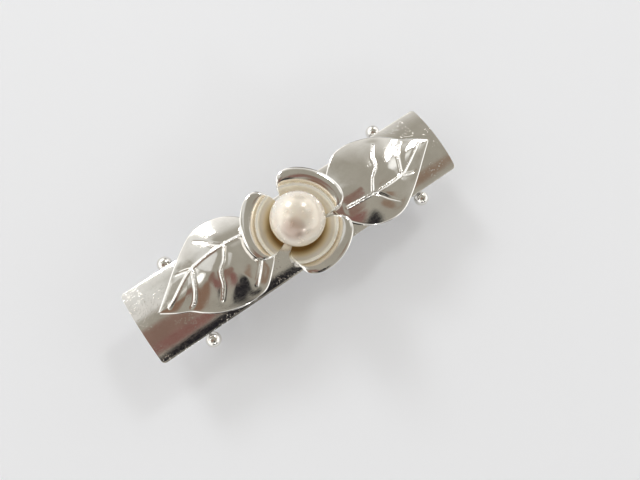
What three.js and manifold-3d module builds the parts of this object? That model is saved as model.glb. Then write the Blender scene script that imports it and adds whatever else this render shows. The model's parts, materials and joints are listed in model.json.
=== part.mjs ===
// Flower hair clip in millimetres, +Z up, standing on the flat underside of its hinged clasp arm.
// +X runs along the top plate towards the catch, +Y towards the back edge of the plate.
import * as THREE from "three";
import { mergeVertices } from "three/addons/utils/BufferGeometryUtils.js";
import Module from "manifold-3d";

const wasm = await Module();
wasm.setup();

// Driving dimensions.
const plateLength = 50;
const plateWidth = 11;
const plateThickness = 0.6;
const plateArchRadius = 15.6;
const plateCornerRadius = 0.5;
const crownZ = 8.0;
const flowerX = -0.1;
const flowerY = 0.1;
const pearlRadius = 3.72;
const pearlStandoff = 0.48; // bottom of the pearl above the crown of the plate
const petalHalfSpan = 50; // degrees
const petalCornerRadius = pearlRadius + 1.48;
const petalThickness = 0.42;
const petalLipDrop = 0.24; // how far the rim of a petal rolls down
const leafLength = 18;
const leafWidth = 12.9;
const leafFoot = 5.3; // from the middle of the flower to the foot of a leaf
const leafThickness = 0.45;
const leafPuffRight = 1.2; // how far the right leaf's middle stands above its rim
const leafPuffLeft = 1.55;
const leafShoulder = 5.5; // distance in from the rim over which the puff rises
const leafSwell = 1.35; // 1 gives flat slopes like a roof, 2 a round cushion
const leafFootClearRadius = pearlRadius + 1.38; // leaves are notched round the flower's foot
const leafFullRadius = leafFootClearRadius + 2; // a leaf reaches its full puff this far out
const veinRadius = 0.26;
const baseInset = 2.5; // from each long edge of the plate to the base
const baseThickness = 0.5;
const baseGap = 0.04; // solder line between the base and the underside of the plate
const baseStart = 4.8 - plateLength / 2;
const baseEnd = plateLength / 2 - 4.6;
const knobZ = 5.2; // height of the hinge pin and of all four ball knobs
const hingeX = 6.9 - plateLength / 2;
const catchX = plateLength / 2 - 6.6;
const knobRadius = 1.1;
const knobY = plateWidth / 2 + 0.75;
const pinRadius = 0.4;
const runningGap = 0.05; // radial clearance of a turning or sliding fit
const pressGap = 0.02; // radial clearance of a fixed fit
const sideGap = 0.1; // clearance along the pin and beside moving parts
const earThickness = 0.5;
const armThickness = 0.8;
const armHalfFlat = catchX - 6; // half the straight run that the clip lies on
const armEnd = catchX + 2.4;
const tongueZ = 2.6;
const slotRim = 0.85; // metal left beside the slot in the tongue
const slotGap = 0.15; // between a slider's leg and the edge of the slot
const pressTravel = 0.55; // how far a catch knob is pressed in
const barbCatch = pressTravel - 0.2; // how far a barb reaches under the edge of the slot
const springPitch = 0.53; // between one turn of the catch spring and the next

// Sizes that follow from the ones above.
const archZ = crownZ - plateArchRadius;
const baseWidth = plateWidth - 2 * baseInset;
const innerArchRadius = plateArchRadius - plateThickness;
const baseTop = archZ + Math.sqrt(innerArchRadius ** 2 - (baseWidth / 2) ** 2) - baseGap;
const baseBottom = baseTop - baseThickness;
const pearlZ = crownZ + pearlStandoff + pearlRadius;
const knuckleHalf = baseWidth / 2 - earThickness - sideGap;
const slotHalfWidth = baseWidth / 2 - slotRim;
const legOuter = slotHalfWidth - slotGap;
const legInner = legOuter - 0.5;
const barbOuter = slotHalfWidth + barbCatch;
const legHalf = 0.6;
const housingHalf = 1.5;
const housingWall = legOuter + 1.7;
const housingEdge = housingWall + 0.5;
const housingTop = baseBottom - baseGap;
const housingRoof = 0.48;
const legTop = housingTop - housingRoof - sideGap;
const collarRadius = 0.7;

const root = new THREE.Group();

const finishes = {
  silver: { color: 0xd2cfc8, roughness: 0.16, metalness: 1 },
  satinSilver: { color: 0xbdbab4, roughness: 0.3, metalness: 1 },
  springSteel: { color: 0xa9a8a4, roughness: 0.35, metalness: 1 },
  pearl: { color: 0xf1e9dc, roughness: 0.25, metalness: 0 },
};

// A closed three.js geometry as a solid.
function solid(geometry) {
  geometry.deleteAttribute("normal");
  geometry.deleteAttribute("uv");
  const merged = mergeVertices(geometry, 1e-4);
  return new wasm.Manifold(
    new wasm.Mesh({
      numProp: 3,
      vertProperties: merged.attributes.position.array,
      triVerts: new Uint32Array(merged.index.array),
    }),
  );
}

// A solid as a named node with its own material.
function addNode(name, body, finish) {
  const mesh = body.getMesh();
  const geometry = new THREE.BufferGeometry();
  geometry.setAttribute("position", new THREE.BufferAttribute(mesh.vertProperties, 3));
  geometry.setIndex(new THREE.BufferAttribute(mesh.triVerts, 1));
  geometry.computeVertexNormals();
  const node = new THREE.Mesh(geometry, new THREE.MeshStandardMaterial(finishes[finish]));
  node.name = name;
  root.add(node);
}

function block(x, y, z) {
  const geometry = new THREE.BoxGeometry(x[1] - x[0], y[1] - y[0], z[1] - z[0]);
  geometry.translate((x[0] + x[1]) / 2, (y[0] + y[1]) / 2, (z[0] + z[1]) / 2);
  return solid(geometry);
}

// A round bar along Y from one y to another.
function barAlongY(radius, x, z, from, to, sides = 24) {
  const geometry = new THREE.CylinderGeometry(radius, radius, to - from, sides);
  geometry.translate(x, (from + to) / 2, z);
  return solid(geometry);
}

// A round bar along Z from one z to another.
function barAlongZ(radius, x, y, from, to, sides = 24) {
  const geometry = new THREE.CylinderGeometry(radius, radius, to - from, sides);
  geometry.rotateX(Math.PI / 2);
  geometry.translate(x, y, (from + to) / 2);
  return solid(geometry);
}

// A solid turned about the vertical through x, y from a profile of [radius, z] points.
function turned(profile, x, y, sides) {
  const points = profile.map(([radius, z]) => new THREE.Vector2(radius, z));
  const geometry = new THREE.LatheGeometry(points, sides);
  geometry.rotateX(Math.PI / 2);
  geometry.translate(x, y, 0);
  return solid(geometry);
}

// An outline of [x, z] points carried across from one y to another.
function sideCut(outline, from, to) {
  const shape = new THREE.Shape(outline.map(([x, z]) => new THREE.Vector2(x, z)));
  const geometry = new THREE.ExtrudeGeometry(shape, { depth: to - from, bevelEnabled: false });
  geometry.rotateX(Math.PI / 2);
  geometry.translate(0, to, 0);
  return solid(geometry);
}

// An outline of [x, y] points carried up from one z to another.
function planCut(outline, from, to) {
  const shape = new THREE.Shape(outline.map(([x, y]) => new THREE.Vector2(x, y)));
  const geometry = new THREE.ExtrudeGeometry(shape, { depth: to - from, bevelEnabled: false });
  geometry.translate(0, 0, from);
  return solid(geometry);
}

// A round wire along a smooth curve, closed at both ends.
function wire(points, radius, steps, sides) {
  const curve = new THREE.CatmullRomCurve3(points);
  const section = new THREE.Shape(
    Array.from({ length: sides }, (unused, i) => {
      const turn = (2 * Math.PI * i) / sides;
      return new THREE.Vector2(radius * Math.cos(turn), radius * Math.sin(turn));
    }),
  );
  return solid(new THREE.ExtrudeGeometry(section, { steps, bevelEnabled: false, extrudePath: curve }));
}

// A closed shell between two grids of points of the same size, the first grid being the outside.
function shell(upper, lower) {
  const rows = upper.length;
  const columns = upper[0].length;
  const positions = [...upper.flat(), ...lower.flat()].flat();
  const under = rows * columns;
  const at = (row, column) => row * columns + column;
  const index = [];
  const quad = (a, b, c, d) => index.push(a, b, c, a, c, d);
  for (let row = 0; row < rows - 1; row += 1) {
    for (let column = 0; column < columns - 1; column += 1) {
      const corners = [at(row, column), at(row + 1, column), at(row + 1, column + 1), at(row, column + 1)];
      quad(...corners);
      quad(...corners.map((corner) => corner + under).reverse());
    }
  }
  for (let row = 0; row < rows - 1; row += 1) {
    quad(at(row, 0), at(row, 0) + under, at(row + 1, 0) + under, at(row + 1, 0));
    const last = columns - 1;
    quad(at(row + 1, last), at(row + 1, last) + under, at(row, last) + under, at(row, last));
  }
  for (let column = 0; column < columns - 1; column += 1) {
    quad(at(0, column + 1), at(0, column + 1) + under, at(0, column) + under, at(0, column));
    const last = rows - 1;
    quad(at(last, column), at(last, column) + under, at(last, column + 1) + under, at(last, column + 1));
  }
  const geometry = new THREE.BufferGeometry();
  geometry.setAttribute("position", new THREE.BufferAttribute(new Float32Array(positions), 3));
  geometry.setIndex(index);
  return solid(geometry);
}

// Top plate: a straight strip, arched across its width, with slightly rounded corners.
const plateRows = 18;
const archGrid = (radius) =>
  [-plateLength / 2 - 1, plateLength / 2 + 1].map((x) =>
    Array.from({ length: plateRows + 1 }, (unused, i) => {
      const y = (plateWidth + 1) * (i / plateRows - 0.5);
      return [x, y, archZ + Math.sqrt(radius ** 2 - y ** 2)];
    }),
  );
const corner = plateCornerRadius;
const plateOutline = [];
for (const [sx, sy, start] of [[1, 1, 0], [-1, 1, 90], [-1, -1, 180], [1, -1, 270]]) {
  for (let step = 0; step <= 4; step += 1) {
    const turn = THREE.MathUtils.degToRad(start + step * 22.5);
    plateOutline.push([
      sx * (plateLength / 2 - corner) + corner * Math.cos(turn),
      sy * (plateWidth / 2 - corner) + corner * Math.sin(turn),
    ]);
  }
}
addNode(
  "top_plate",
  shell(archGrid(plateArchRadius), archGrid(innerArchRadius)).intersect(planCut(plateOutline, 0, crownZ + 1)),
  "silver",
);

// Leaves: one puffed shape with raised veins, placed twice. Points are [along, across] shares of the
// leaf's length and width, from its foot to its tip.
const leafPlaces = [
  { name: "leaf_right", turn: 0, x: 0, y: 0, puff: leafPuffRight },
  { name: "leaf_left", turn: 182.5, x: 1.5, y: 1.4, puff: leafPuffLeft },
];
const leafBack = [
  [0, 0.02], [0.06, 0.2], [0.17, 0.36], [0.27, 0.46], [0.39, 0.48], [0.51, 0.45], [0.64, 0.38],
  [0.74, 0.28], [0.81, 0.19], [0.9, 0.12], [1, 0.02],
];
const leafFront = [
  [0, -0.05], [0.03, -0.2], [0.12, -0.36], [0.23, -0.47], [0.37, -0.52], [0.5, -0.5], [0.63, -0.4],
  [0.76, -0.27], [0.87, -0.15], [1, -0.01],
];
const leafVeins = [
  [
    [0.11, -0.14], [0.25, -0.16], [0.34, -0.17], [0.48, -0.18], [0.63, -0.16], [0.72, -0.11],
    [0.84, -0.02], [0.92, 0.03],
  ],
  [[0.34, -0.15], [0.4, -0.03], [0.47, 0.05], [0.51, 0.18], [0.58, 0.29]],
  [[0.34, -0.18], [0.39, -0.24], [0.43, -0.31], [0.5, -0.4]],
  [[0.63, -0.15], [0.68, 0.01], [0.74, 0.12], [0.79, 0.16]],
  [[0.63, -0.16], [0.7, -0.2], [0.76, -0.22]],
  [[0.18, 0.19], [0.31, 0.37]],
];
const leafSteps = 26;
const leafRows = 12;
const leafRimZ = (y) => crownZ + 0.04 - 0.006 * y ** 2;

// Distance in plan from a spot to a line of points.
function distanceTo(x, y, line) {
  let nearest = Infinity;
  for (let i = 0; i < line.length - 1; i += 1) {
    const a = new THREE.Vector3(line[i].x, line[i].y, 0);
    const b = new THREE.Vector3(line[i + 1].x, line[i + 1].y, 0);
    const spot = new THREE.Vector3(x, y, 0);
    const foot = new THREE.Line3(a, b).closestPointToPoint(spot, true, new THREE.Vector3());
    nearest = Math.min(nearest, foot.distanceTo(spot));
  }
  return nearest;
}

// Top of a leaf over a plan position: the rim height plus a puff that grows inwards from both edges
// and dies away under the petals.
function leafTop(x, y, edges, puff) {
  const [near, far] = edges.map((edge) => {
    const share = Math.min(distanceTo(x, y, edge) / leafShoulder, 1);
    return 1 - (1 - share) ** leafSwell;
  });
  const rise = (near ** -4 + far ** -4 - 1) ** -0.25;
  const clear = Math.hypot(x - flowerX, y - flowerY);
  const fade = THREE.MathUtils.smoothstep(clear, leafFootClearRadius - 1.6, leafFullRadius);
  return leafRimZ(y) + leafThickness + fade * puff * rise;
}

for (const { name, turn, x, y, puff } of leafPlaces) {
  const place = ([along, across]) =>
    new THREE.Vector2(leafFoot + along * leafLength, across * leafWidth)
      .rotateAround(new THREE.Vector2(), THREE.MathUtils.degToRad(turn))
      .add(new THREE.Vector2(x, y));
  const back = new THREE.SplineCurve(leafBack.map(place));
  const front = new THREE.SplineCurve(leafFront.map(place));
  const edges = [front.getPoints(leafSteps), back.getPoints(leafSteps)];
  const upper = [];
  const lower = [];
  for (let step = 0; step <= leafSteps; step += 1) {
    const near = front.getPoint(step / leafSteps);
    const far = back.getPoint(step / leafSteps);
    const tops = Array.from({ length: leafRows + 1 }, (unused, row) => {
      const spot = near.clone().lerp(far, 0.5 - 0.5 * Math.cos((Math.PI * row) / leafRows));
      return [spot.x, spot.y, leafTop(spot.x, spot.y, edges, puff)];
    });
    upper.push(tops);
    lower.push(
      tops.map(([px, py, pz]) => {
        const rimZ = leafRimZ(py);
        return [px, py, rimZ + 0.85 * (pz - rimZ - leafThickness)];
      }),
    );
  }
  let body = shell(upper, lower);
  for (const vein of leafVeins) {
    const path = vein.map(place).map((spot) => {
      const z = leafTop(spot.x, spot.y, edges, puff) - 0.3 * veinRadius;
      return new THREE.Vector3(spot.x, spot.y, z);
    });
    body = body.add(wire(path, veinRadius, 4 * vein.length - 6, 6));
  }
  const foot = barAlongZ(leafFootClearRadius, flowerX, flowerY, crownZ - 2, crownZ + 6, 40);
  addNode(name, body.subtract(foot), "silver");
}

// Petals: three cupped shells round the pearl, each with its own reach. Skew makes one side of the rim
// reach further, and flare widens the foot on that side, in degrees.
const petals = [
  { name: "petal_back_right", turn: 36, reach: 4.18, skew: 0, flare: 0 },
  { name: "petal_back_left", turn: 152.4, reach: 3.95, skew: 0.3, flare: 5 },
  { name: "petal_front", turn: 289, reach: 4, skew: -0.15, flare: 14 },
];
// The inner face, as [distance outside the pearl, height over the crown of the plate].
const petalProfile = new THREE.SplineCurve(
  [
    [-2.8, 0.45], [-1.3, 0.5], [-0.4, 0.63], [0.5, 1], [1.15, 1.45], [1.5, 1.78], [1.8, 1.9], [2.1, 2.08],
    [2.65, 2.42], [3.35, 2.63], [4, 2.71], [5, 2.62],
  ].map(([out, z]) => new THREE.Vector2(pearlRadius + out, z)),
).getPoints(90);
const petalColumns = 18;
const footRadii = [-2.2, -1.3, -0.4, 0.5, 1.1].map((out) => pearlRadius + out);
const bandRows = 7;

function petalHeight(radius) {
  const next = petalProfile.findIndex((point) => point.x >= radius);
  const a = petalProfile[next - 1];
  const b = petalProfile[next];
  return a.y + ((b.y - a.y) / (b.x - a.x)) * (radius - a.x);
}

for (const { name, turn, reach, skew, flare } of petals) {
  const upper = [];
  const lower = [];
  for (let column = 0; column <= petalColumns; column += 1) {
    const across = Math.sin(Math.PI * (column / petalColumns - 0.5));
    const full = pearlRadius + reach + skew * across - petalCornerRadius;
    const rim = petalCornerRadius + full * (1 - Math.abs(across) ** 5.5) ** 0.62;
    const radii = [...footRadii];
    const inner = footRadii[footRadii.length - 1];
    for (let row = 1; row <= bandRows; row += 1) radii.push(inner + ((rim - inner) * row) / bandRows);
    const place = (radius, drop, shift) => {
      const lip = Math.max(8 * ((radius - footRadii[0]) / (rim - footRadii[0])) - 7, 0);
      const inward = 1 - THREE.MathUtils.clamp((radius - pearlRadius - 0.4) / 2.1, 0, 1);
      const span = petalHalfSpan * across + flare * Math.max(across, 0) * inward;
      const angle = THREE.MathUtils.degToRad(turn - span);
      const out = radius + shift;
      return [
        flowerX + out * Math.cos(angle),
        flowerY + out * Math.sin(angle),
        crownZ + petalHeight(radius) - petalLipDrop * lip ** 2 - drop,
      ];
    };
    upper.push(radii.map((radius) => place(radius, 0, 0)));
    lower.push(
      radii.map((radius) => {
        const slope = (petalHeight(radius + 0.4) - petalHeight(radius - 0.4)) / 0.8;
        const length = Math.hypot(1, slope);
        return place(radius, petalThickness / length, (petalThickness * slope) / length);
      }),
    );
  }
  addNode(name, shell(upper, lower), "silver");
}

// Pearl: drilled from below, glued on a peg that stands in a small dished cup.
const pearlBoreTop = pearlZ - 1;
const pearlBall = new THREE.SphereGeometry(pearlRadius, 36, 24);
pearlBall.rotateX(Math.PI / 2);
pearlBall.translate(flowerX, flowerY, pearlZ);
const pegBore = barAlongZ(pinRadius + runningGap, flowerX, flowerY, crownZ - 1, pearlBoreTop, 16);
addNode("pearl", solid(pearlBall).subtract(pegBore), "pearl");
const cupLow = crownZ + pressGap;
addNode("pearl_peg", barAlongZ(pinRadius, flowerX, flowerY, cupLow, pearlBoreTop - sideGap, 16), "silver");
addNode(
  "pearl_cup",
  turned(
    [[0.45, cupLow], [1.3, cupLow], [1.3, cupLow + 0.62], [1.15, cupLow + 0.58], [0.8, cupLow + 0.46],
      [0.45, cupLow + 0.42], [0.45, cupLow]],
    flowerX, flowerY, 24,
  ),
  "silver",
);

// Clasp base: a flat strip under the plate with two ears that carry the hinge pin.
const rivetX = armHalfFlat + 1.6;
const rivetRadius = 0.4;
let base = block([baseStart, baseEnd], [-baseWidth / 2, baseWidth / 2], [baseBottom, baseTop]);
for (const side of [-1, 1]) {
  const outer = (side * baseWidth) / 2;
  const inner = outer - side * earThickness;
  const ear = block(
    [hingeX - 0.95, hingeX + 0.95],
    [Math.min(outer, inner), Math.max(outer, inner)],
    [knobZ, baseBottom + 0.1],
  );
  const round = barAlongY(0.95, hingeX, knobZ, Math.min(outer, inner), Math.max(outer, inner));
  base = base.add(ear).add(round);
  base = base.subtract(barAlongZ(rivetRadius + pressGap, side * rivetX, 0, baseBottom - 1, baseTop + 1, 16));
}
base = base.subtract(barAlongY(pinRadius + pressGap, hingeX, knobZ, -baseWidth, baseWidth));
addNode("clasp_base", base, "satinSilver");

// Tension bow: a springy strip riveted under the base, its belly pressing on the hair.
const bowDrop = 0.75;
const bowThickness = 0.3;
const bowEnd = rivetX + 1.2;
const bowSteps = 16;
const bowEdge = (offset) =>
  Array.from({ length: bowSteps + 1 }, (unused, i) => {
    const x = bowEnd * ((2 * i) / bowSteps - 1);
    const share = Math.min(Math.abs(x) / (rivetX - 1.2), 1);
    const drop = bowDrop * Math.cos((Math.PI / 2) * share);
    return [x, baseBottom - 0.03 - offset - drop];
  });
let bow = sideCut([...bowEdge(bowThickness), ...bowEdge(0).reverse()], -2.1, 2.1);
for (const side of [-1, 1]) {
  bow = bow.subtract(barAlongZ(rivetRadius + pressGap, side * rivetX, 0, baseBottom - 2, baseTop, 16));
}
addNode("tension_bow", bow, "springSteel");
for (const [name, side] of [["bow_rivet_left", -1], ["bow_rivet_right", 1]]) {
  const headTop = baseBottom - 0.03 - bowThickness - pressGap;
  const rivet = turned(
    [[0, headTop - 0.3], [0.45, headTop - 0.27], [0.75, headTop - 0.14], [0.8, headTop],
      [rivetRadius, headTop], [rivetRadius, baseTop], [0, baseTop]],
    side * rivetX, 0, 20,
  );
  addNode(name, rivet, "satinSilver");
}

// Hinge pin through both ears and the arm's knuckle, with a ball knob on each end.
const pinEnd = knobY - 0.2;
addNode("hinge_pin", barAlongY(pinRadius, hingeX, knobZ, -pinEnd, pinEnd), "satinSilver");

function knob(x, side) {
  const ball = new THREE.SphereGeometry(knobRadius, 20, 14);
  ball.translate(x, side * knobY, knobZ);
  const bore = side < 0 ? [-pinEnd - pressGap, 0] : [0, pinEnd + pressGap];
  return solid(ball).subtract(barAlongY(pinRadius + pressGap, x, knobZ, ...bore));
}
addNode("hinge_ball_front", knob(hingeX, -1), "silver");
addNode("hinge_ball_back", knob(hingeX, 1), "silver");

// Clasp arm: a strip that runs from the knuckle down to the flat it lies on, and up to a slotted tongue.
const armLine = new THREE.Path();
const flatZ = armThickness / 2;
armLine.moveTo(hingeX + 0.5, knobZ - 0.72);
armLine.lineTo(hingeX + 2.6, 2.4);
armLine.quadraticCurveTo(-armHalfFlat - 1.9, flatZ, -armHalfFlat, flatZ);
armLine.lineTo(armHalfFlat, flatZ);
armLine.quadraticCurveTo(armHalfFlat + 1.9, flatZ, armHalfFlat + 2.9, 1.6);
armLine.quadraticCurveTo(armHalfFlat + 3.6, tongueZ, armHalfFlat + 4.4, tongueZ);
armLine.lineTo(armEnd, tongueZ);
const armPoints = armLine.getPoints(6);
const armSide = (offset) =>
  armPoints.map((point, i) => {
    const before = armPoints[Math.max(i - 1, 0)];
    const after = armPoints[Math.min(i + 1, armPoints.length - 1)];
    const along = after.clone().sub(before).normalize();
    return [point.x - along.y * offset, point.y + along.x * offset];
  });
const armStrip = sideCut(
  [...armSide(-armThickness / 2), ...armSide(armThickness / 2).reverse()],
  -baseWidth / 2,
  baseWidth / 2,
);
const armWide = baseWidth / 2;
const narrowTo = hingeX + 1.7;
const armPlan = [
  [hingeX - 2, -knuckleHalf], [narrowTo, -knuckleHalf], [narrowTo + 0.8, -armWide],
  [armEnd - 1.2, -armWide], [armEnd - 0.35, -armWide + 0.35], [armEnd, -armWide + 1.2],
  [armEnd, armWide - 1.2], [armEnd - 0.35, armWide - 0.35], [armEnd - 1.2, armWide],
  [narrowTo + 0.8, armWide], [narrowTo, knuckleHalf], [hingeX - 2, knuckleHalf],
];
const arm = armStrip
  .add(barAlongY(1, hingeX, knobZ, -knuckleHalf, knuckleHalf))
  .intersect(planCut(armPlan, -1, knobZ + 2))
  .subtract(barAlongY(pinRadius + runningGap, hingeX, knobZ, -baseWidth, baseWidth))
  .subtract(block([catchX - 0.95, catchX + 0.95], [-slotHalfWidth, slotHalfWidth], [1.5, 4]));
addNode("clasp_arm", arm, "satinSilver");

// Catch: a bracket under the base that guides two sliders, each pulled by its ball knob.
const housingX = [catchX - housingHalf, catchX + housingHalf];
let housing = block(housingX, [-housingEdge, housingEdge], [housingTop - housingRoof, housingTop]);
for (const side of [-1, 1]) {
  const edges = [side * housingWall, side * housingEdge].sort((a, b) => a - b);
  housing = housing.add(block(housingX, edges, [knobZ - 0.95, housingTop - 0.1]));
}
const stemBore = barAlongY(pinRadius + runningGap, catchX, knobZ, -housingEdge - 1, housingEdge + 1);
housing = housing.subtract(stemBore);
addNode("catch_housing", housing, "satinSilver");

const barbTop = tongueZ - armThickness / 2 - sideGap;
for (const [name, side] of [["front", -1], ["back", 1]]) {
  const across = (a, b) => [side * a, side * b].sort((p, q) => p - q);
  const legX = [catchX - legHalf, catchX + legHalf];
  const slider = block(legX, across(legInner, legOuter), [barbTop - 0.6, legTop])
    .add(block(legX, across(legInner, barbOuter), [barbTop - 0.6, barbTop]))
    .add(barAlongY(collarRadius, catchX, knobZ, ...across(legOuter - 0.1, housingWall - runningGap)))
    .add(barAlongY(pinRadius, catchX, knobZ, ...across(legOuter, pinEnd)));
  addNode("catch_slider_" + name, slider, "satinSilver");
  addNode("catch_ball_" + name, knob(catchX, side), "silver");
}

// Catch spring: a coil between the two sliders that pushes them apart.
const springRadius = 0.55;
const springWire = 0.13;
const springEnd = legInner - springWire - 2 * pressGap;
const springTurns = Math.round((2 * springEnd) / springPitch);
const coil = Array.from({ length: springTurns * 10 + 1 }, (unused, i) => {
  const turn = (2 * Math.PI * i) / 10;
  const y = springEnd * ((2 * i) / (springTurns * 10) - 1);
  return new THREE.Vector3(catchX + springRadius * Math.cos(turn), y, knobZ + springRadius * Math.sin(turn));
});
addNode("catch_spring", wire(coil, springWire, springTurns * 12, 6), "springSteel");

export default root;
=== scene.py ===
import json
import math

import bmesh
import bpy
import numpy as np
from mathutils import Matrix, Vector

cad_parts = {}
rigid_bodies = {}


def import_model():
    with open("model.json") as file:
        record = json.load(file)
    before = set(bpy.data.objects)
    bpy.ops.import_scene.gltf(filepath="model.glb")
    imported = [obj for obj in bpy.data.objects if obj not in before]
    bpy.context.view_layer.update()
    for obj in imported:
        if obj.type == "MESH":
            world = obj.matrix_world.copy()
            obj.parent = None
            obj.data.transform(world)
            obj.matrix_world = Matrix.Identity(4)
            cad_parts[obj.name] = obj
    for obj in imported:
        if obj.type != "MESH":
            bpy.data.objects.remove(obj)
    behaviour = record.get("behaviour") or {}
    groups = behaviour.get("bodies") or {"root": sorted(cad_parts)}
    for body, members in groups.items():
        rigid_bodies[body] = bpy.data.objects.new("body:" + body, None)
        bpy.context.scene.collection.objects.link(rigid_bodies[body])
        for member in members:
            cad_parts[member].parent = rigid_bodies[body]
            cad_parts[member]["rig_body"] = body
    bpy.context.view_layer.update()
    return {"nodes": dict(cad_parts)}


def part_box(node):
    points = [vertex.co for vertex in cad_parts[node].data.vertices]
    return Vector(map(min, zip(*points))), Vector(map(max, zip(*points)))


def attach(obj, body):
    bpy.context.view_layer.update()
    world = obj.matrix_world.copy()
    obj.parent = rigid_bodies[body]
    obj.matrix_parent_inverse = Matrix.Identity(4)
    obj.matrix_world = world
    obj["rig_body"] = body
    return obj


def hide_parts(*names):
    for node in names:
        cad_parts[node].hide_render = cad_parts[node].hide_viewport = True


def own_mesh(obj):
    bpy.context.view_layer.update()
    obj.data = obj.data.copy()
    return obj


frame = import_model()
scene = bpy.context.scene
mm = 0.001
plateLow, plateHigh = (np.array(corner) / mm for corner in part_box("top_plate"))
pearlLow, pearlHigh = (np.array(corner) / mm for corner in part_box("pearl"))
crownZ = float(plateHigh[2])
flowerMiddle = (pearlLow + pearlHigh) / 2
pearlRadius = float(pearlHigh[0] - pearlLow[0]) / 2
print("frame loaded: plate crown at", round(crownZ, 2), "mm, pearl radius", round(pearlRadius, 2))


# camera
viewSettings = {
    "place": (-11.33, -11.93, 76.14),  # millimetres
    "aim": (1.50, -3.38, 8.0),
    "up": (0.546, 0.813, 0.205),
    "lens": 28.125,
}


def makeCamera(settings):
    place = Vector(settings["place"]) * mm
    back = (place - Vector(settings["aim"]) * mm).normalized()
    right = Vector(settings["up"]).cross(back).normalized()
    data = bpy.data.cameras.new("camera")
    data.lens = settings["lens"]
    data.sensor_width = 36
    data.clip_start = 0.005
    camera = bpy.data.objects.new("camera", data)
    turn = Matrix((right, back.cross(right), back)).transposed().to_4x4()
    camera.matrix_world = Matrix.Translation(place) @ turn
    scene.collection.objects.link(camera)
    scene.camera = camera


makeCamera(viewSettings)
scene.view_settings.view_transform = "Standard"
print("camera placed")


# small helpers for node trees
def addNode(tree, kind, settings=None, inputs=None):
    made = tree.nodes.new(kind)
    for key, value in (settings or {}).items():
        setattr(made, key, value)
    for key, value in (inputs or {}).items():
        if isinstance(value, bpy.types.NodeSocket):
            tree.links.new(value, made.inputs[key])
        else:
            made.inputs[key].default_value = value
    return made


def mathNode(tree, operation, first, second=0.0, third=0.0):
    made = addNode(tree, "ShaderNodeMath", {"operation": operation}, {0: first, 1: second, 2: third})
    return made.outputs[0]


def rangeNode(tree, value, low, high, toLow=0.0, toHigh=1.0, kind="LINEAR"):
    made = addNode(
        tree, "ShaderNodeMapRange", {"interpolation_type": kind, "clamp": True},
        {"Value": value, "From Min": low, "From Max": high, "To Min": toLow, "To Max": toHigh},
    )
    return made.outputs[0]


def mixColour(tree, share, first, second, blend="MIX"):
    made = addNode(tree, "ShaderNodeMix", {"data_type": "RGBA", "blend_type": blend})
    for index, value in ((0, share), (6, first), (7, second)):
        if isinstance(value, bpy.types.NodeSocket):
            tree.links.new(value, made.inputs[index])
        else:
            made.inputs[index].default_value = value
    return made.outputs[2]


def newMaterial(name):
    made = bpy.data.materials.new(name)
    made.use_nodes = True
    tree = made.node_tree
    shader = tree.nodes["Principled BSDF"]
    coordinates = addNode(tree, "ShaderNodeTexCoord")
    inMillimetres = addNode(
        tree, "ShaderNodeMapping", None,
        {"Vector": coordinates.outputs["Object"], "Scale": (1 / mm, 1 / mm, 1 / mm)},
    )
    return made, tree, shader, inMillimetres.outputs[0]


def noise(tree, place, scale, detail=2.0, roughness=0.5):
    return addNode(
        tree, "ShaderNodeTexNoise", None,
        {"Vector": place, "Scale": scale, "Detail": detail, "Roughness": roughness},
    ).outputs["Fac"]


def stretched(tree, place, turn, scale):
    return addNode(
        tree, "ShaderNodeMapping", None, {"Vector": place, "Rotation": turn, "Scale": scale},
    ).outputs[0]


# finishes
silverSettings = {
    "bright": (0.86, 0.84, 0.80, 1),
    "dull": (0.78, 0.755, 0.71, 1),
    "bowlPaintedLightCream": (0.99, 0.98, 0.91, 1),  # painted light in the bowl of the petals: cream for the lit bowl and the pearl's reflection, gold for the pearl's reflection, brown for painted shade beside the pearl
    "bowlPaintedReflectionGold": (0.80, 0.67, 0.40, 1),
    "bowlPaintedShadeBrown": (0.25, 0.14, 0.04, 1),
    "bowlRoughness": 0.22,
    "bowlMetal": 0.45,
    "roughness": (0.06, 0.16),
    "waveHeight": 0.006,  # millimetres, slow hand-polish waviness
    "scratchHeight": 0.0012,
    "pitHeight": 0.014,
    "grainHeight": 0.09,  # on the veins of the leaves
    "cloudScale": 0.35,  # scales are turns of the pattern per millimetre
    "fineScale": 2.2,
    "pitScale": 3.6,
    "pitPatchScale": 0.3,
    "waveScale": 0.7,
    "grainScale": 5.0,
    "scratchStretch": (0.5, 14, 3),
    "scratchDirections": (0.3, 1.2, 2.4),
}


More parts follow.
